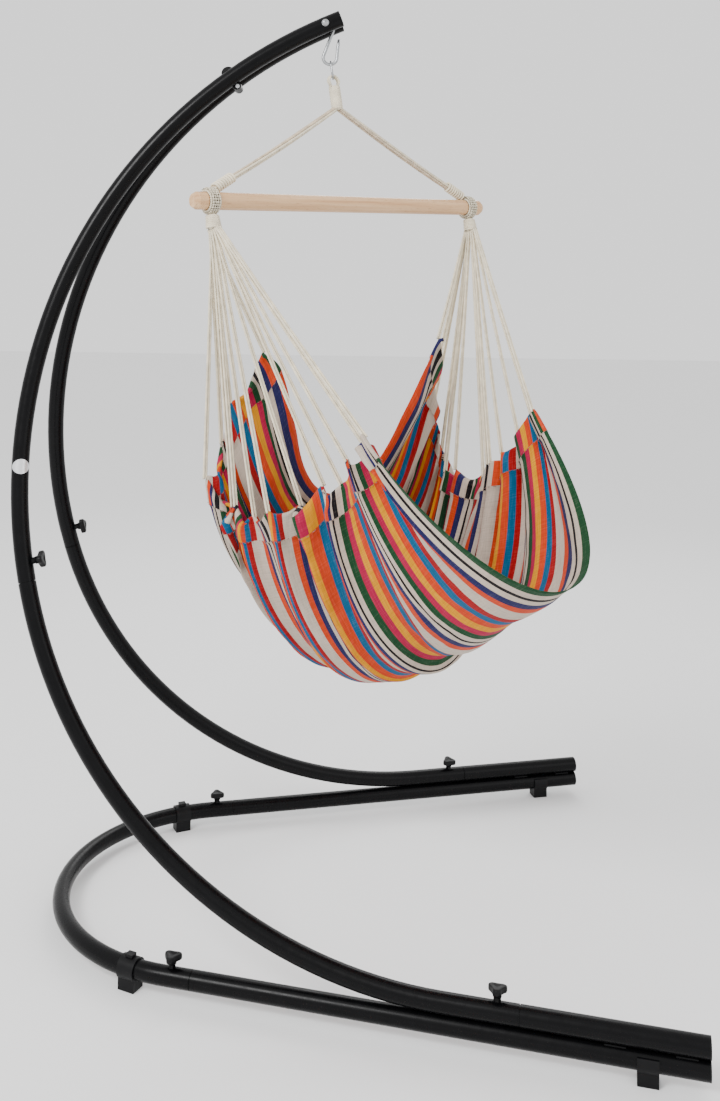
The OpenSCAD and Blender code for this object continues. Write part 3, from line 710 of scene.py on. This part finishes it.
def make_bridle(s, name, mats):
    """Five cords laid together, from the whipped loop down to the bar's eye; two are darker,
    painted shade on the bundle's shadow side.
    """
    shape = Shape()
    top = np.array([s * 0.006, 0, WRAP_TOP - WRAP_LEN + 0.002])
    low = np.array([s * (EYE_HALF - 0.012), 0, BAR_Z + EYE_OUT - 0.001])
    along = (low - top) / np.linalg.norm(low - top)
    up = np.cross(along, [0, 1, 0])
    strands = 5
    for k in range(strands):
        ang = TAU * k / strands
        base = line(top, low, 0.0036)
        t = np.linspace(0, 1, len(base))
        slow = ang + t * TAU * 0.12
        wide = 0.0066 * (0.75 + 0.25 * np.sin(math.pi * t))
        pts = base + np.outer(np.cos(slow) * wide, [0, 1, 0]) \
            + np.outer(np.sin(slow) * wide * 0.8, up)
        pts[:, 2] -= 0.004 * np.sin(math.pi * t)
        # Strands 3 and 4 take the darker rope colour, painted shade along the bundle's shadow side.
        shape.tube(in_chair(pts), BRIDLE_R, 9, 3, 0.22, 0.022, 1 if k in (3, 4) else 0, k)
    # Whipping where the cords reach the eye.
    centre = line(top, low, 0.0036)
    for k in range(8):
        at = centre[-4 - 2 * k]
        ang = np.linspace(0, TAU, 15)
        ring = at + np.outer(np.cos(ang) * 0.0112, [0, 1, 0]) + np.outer(np.sin(ang) * 0.0104, up) \
            + np.outer(ang / TAU * 0.0072, along)
        shape.tube(in_chair(ring), 0.0029, 7)
    names = "right" if s < 0 else "left"
    shape.make(name, [mats["cotton_rope"], mats["cotton_painted_shade"]], "yoke",
               [names + "_bridle"])


def coil(turns, radius, start, end):
    """A helix about z from start to end, as points; radius is a pair, first and last."""
    n = int(turns * 24) + 1
    t = np.linspace(0, 1, n)
    r = radius[0] + (radius[1] - radius[0]) * t
    ang = t * turns * TAU
    return np.stack([r * np.cos(ang), r * np.sin(ang), start + (end - start) * t], -1)


def make_loop_and_wrap(mats):
    shape = Shape()
    half = 0.015
    arc = [(half * math.cos(t), 0, LOOP_Z - half * (1 - math.sin(t)))
           for t in np.linspace(math.pi, 0, 25)]
    for off, ph in ((-0.0026, 0), (0.0026, 1.5)):
        path = [(-half + 0.006, off, WRAP_TOP - 0.004)] + [(x, y + off, z) for x, y, z in arc] \
            + [(half - 0.006, off, WRAP_TOP - 0.004)]
        shape.tube(in_chair(smooth_path(path, 3)), 0.0034, 9, 3, 0.25, 0.016, 0, ph)
    shape.make("twisted_loop", [mats["cotton_rope"]], "yoke", ["rope_loop"])
    shape = Shape()
    low = WRAP_TOP - WRAP_LEN
    shape.tube(in_chair(line((0, 0, low), (0, 0, WRAP_TOP), 0.01)), 0.0115, 16)
    # Two strands knotted around the core stand out as slanting ridges.
    for k in range(2):
        pts = coil(7.4, (0.0108, 0.0108), low + 0.003, WRAP_TOP - 0.003)
        ang = k * math.pi
        c, s = math.cos(ang), math.sin(ang)
        pts = np.stack([pts[:, 0] * c - pts[:, 1] * s, pts[:, 0] * s + pts[:, 1] * c,
                        pts[:, 2]], -1)
        shape.tube(in_chair(pts), KNOT_R, 9, 3, 0.22, 0.012, 0)
    shape.make("knotted_wrap", [mats["cotton_rope"]], "yoke", ["loop_wrap"])


def make_eye_and_neck(s, names, mats):
    """Cord wound round the bar, and the whipped neck that gathers the suspension cords."""
    shape = Shape()
    # Two layers: turns, first angle, height over the bar, width along it and the cord's radius.
    layers = ((5, 0, 0.0026, 0.029, 0.0034), (4, 1, 0.0080, 0.022, 0.0033))
    for turns, first, over, wide, cord_r in layers:
        t = np.linspace(0, 1, turns * 28 + 1)
        ang = t * turns * TAU + first
        r = BAR_R + over
        pts = np.stack([s * EYE_HALF - wide / 2 + wide * t, r * np.cos(ang),
                        BAR_Z + r * np.sin(ang)], -1)
        shape.tube(in_chair(pts), cord_r, 9, 3, 0.22, 0.014, 0)
    shape.make(names + "_eye_winding", [mats["cotton_rope"]], "seat",
               [names + "_eye"])
    shape = Shape()
    top, low = BAR_Z - EYE_OUT - 0.002, NECK_LOW + 0.002
    centre = np.array([s * EYE_HALF, 0, 0])
    core = line(centre + [0, 0, top - 0.001], centre + [0, 0, low + 0.001], 0.006)
    shape.tube(in_chair(core), 0.0105, 14)
    pts = coil(7, (0.0125, 0.0152), top - 0.003, low + 0.003) + centre
    shape.tube(in_chair(pts), WINDING_R, 9, 3, 0.22, 0.014, 0)
    shape.make(names + "_neck_winding", [mats["cotton_rope"]], "seat",
               [names + "_neck"])


# ---------------------------------------------------------------- hook and knobs
def make_hook(mats):
    wire, bush, gap = 0.008, 0.009, 0.0003
    top_r, low_r = 0.018, 0.017
    top_z = bush + wire / 2 + gap - top_r
    low_z = low_r - HOOK_DROP
    cross = math.asin((top_r + low_r) / (top_z - low_z))
    upper = [(top_r * math.cos(t), 0, top_z + top_r * math.sin(t))
             for t in np.linspace(math.radians(205), -cross, 34)]
    lower = [(low_r * math.cos(t), 0, low_z + low_r * math.sin(t))
             for t in np.linspace(math.pi - cross, math.radians(348), 30)]
    bars = [tuple(p) for p in np.array(upper[-1]) + (np.array(lower[0]) - np.array(upper[-1]))
            * np.linspace(0, 1, 6)[1:-1, None]]
    end = [(low_r + dx, 0, low_z + dz)
           for dx, dz in ((0.004, 0.016), (0.0075, 0.029), (0.011, 0.042))]
    path = np.array(upper + bars + lower + end)
    n = len(path)
    radius = np.full(n, wire / 2)
    radius[0] *= 0.72
    radius[-1] *= 0.72
    shape = Shape()
    shape.tube(on_hook(path), radius, 20)
    shape.make("open_hook", [mats["zinc_steel"]], "hook", ["s_hook"])


def make_knob(where, mats):
    """Three-lobed thumb knob, its axis and lobes taken from the CAD node."""
    node = nodes[where + "_knob"]
    joint = [j for j in frame["record"]["behaviour"]["joints"]
             if j["name"] == where + "_screw_turn"][0]
    origin, axis = np.array(joint["pos_m"]), np.array(joint["axis"])
    co = np.array([v.co[:] for v in node.data.vertices]) - origin
    along = co @ axis
    flat = co - np.outer(along, axis)
    lobe = flat[np.argmax(np.linalg.norm(flat, axis=1))]
    lobe = lobe / np.linalg.norm(lobe)
    other = np.cross(axis, lobe)
    far, reach = along.max(), np.linalg.norm(flat, axis=1).max()
    sides, waist, neck_r = 72, 0.0135, 0.0088
    ang = np.arange(sides) * TAU / sides
    star = waist + (reach - waist) * (0.5 + 0.5 * np.cos(3 * ang)) ** 1.4
    neck = np.full(sides, neck_r)
    rings = [(far - 0.0195, neck, 0.9), (far - 0.0188, neck, 1.0), (far - 0.0135, neck, 1.0),
             (far - 0.0122, star, 0.86), (far - 0.0112, star, 0.97), (far - 0.0095, star, 1.0),
             (far - 0.0035, star, 1.0), (far - 0.0015, star, 0.97), (far - 0.0004, star, 0.89),
             (far, star, 0.78), (far - 0.0006, star, 0.40), (far - 0.0014, star, 0.30)]
    verts, faces = [], []
    for z, outline, k in rings:
        r = outline * k
        spokes = np.outer(r * np.cos(ang), lobe) + np.outer(r * np.sin(ang), other)
        verts.extend((origin + axis * z + spokes).tolist())
    for i in range(len(rings) - 1):
        for j in range(sides):
            j1, low, high = (j + 1) % sides, i * sides, (i + 1) * sides
            faces.append((low + j, low + j1, high + j1, high + j))
    faces.append(tuple(reversed(range(sides))))
    faces.append(tuple(range((len(rings) - 1) * sides, len(rings) * sides)))
    make_object(where + "_star", verts, faces, [mats["black_plastic"]], where + "_screw",
                [where + "_knob"])


def dress_frame(mats):
    """CAD nodes that stay get their finish and softened edges."""
    slots = {p["node"]: p["material_slot"] for p in frame["record"]["subparts"]}
    for name, ob in nodes.items():
        slot = slots.get(name)
        if slot not in ("black_coating", "black_plastic", "zinc_steel", "badge_plate", "beech"):
            continue
        ob.data.materials.clear()
        ob.data.materials.append(mats[slot])
        if name.endswith(("_foot", "_caps")) or name in ("arc_spacer", "spreader_bar"):
            bevel = ob.modifiers.new("Edges", "BEVEL")
            bevel.width = 0.0014
            bevel.segments = 2
            bevel.limit_method = "ANGLE"
            bevel.angle_limit = math.radians(38)


set_camera()
set_stage()
materials = make_materials()
dress_frame(materials)
make_hook(materials)
for place in ("rear", "front", "middle"):
    for hand in ("right", "left"):
        make_knob(place + "_" + hand, materials)
make_loop_and_wrap(materials)
cloth, grid, cord_ends = make_cloth(materials)
for sign, hand in ((-1, "right"), (1, "left")):
    make_side_cords(sign, hand + "_suspension_cords", materials, cord_ends[sign])
    make_bridle(sign, hand + "_bridle_cords", materials)
    make_eye_and_neck(sign, hand, materials)
make_stitches(cloth, grid, materials)
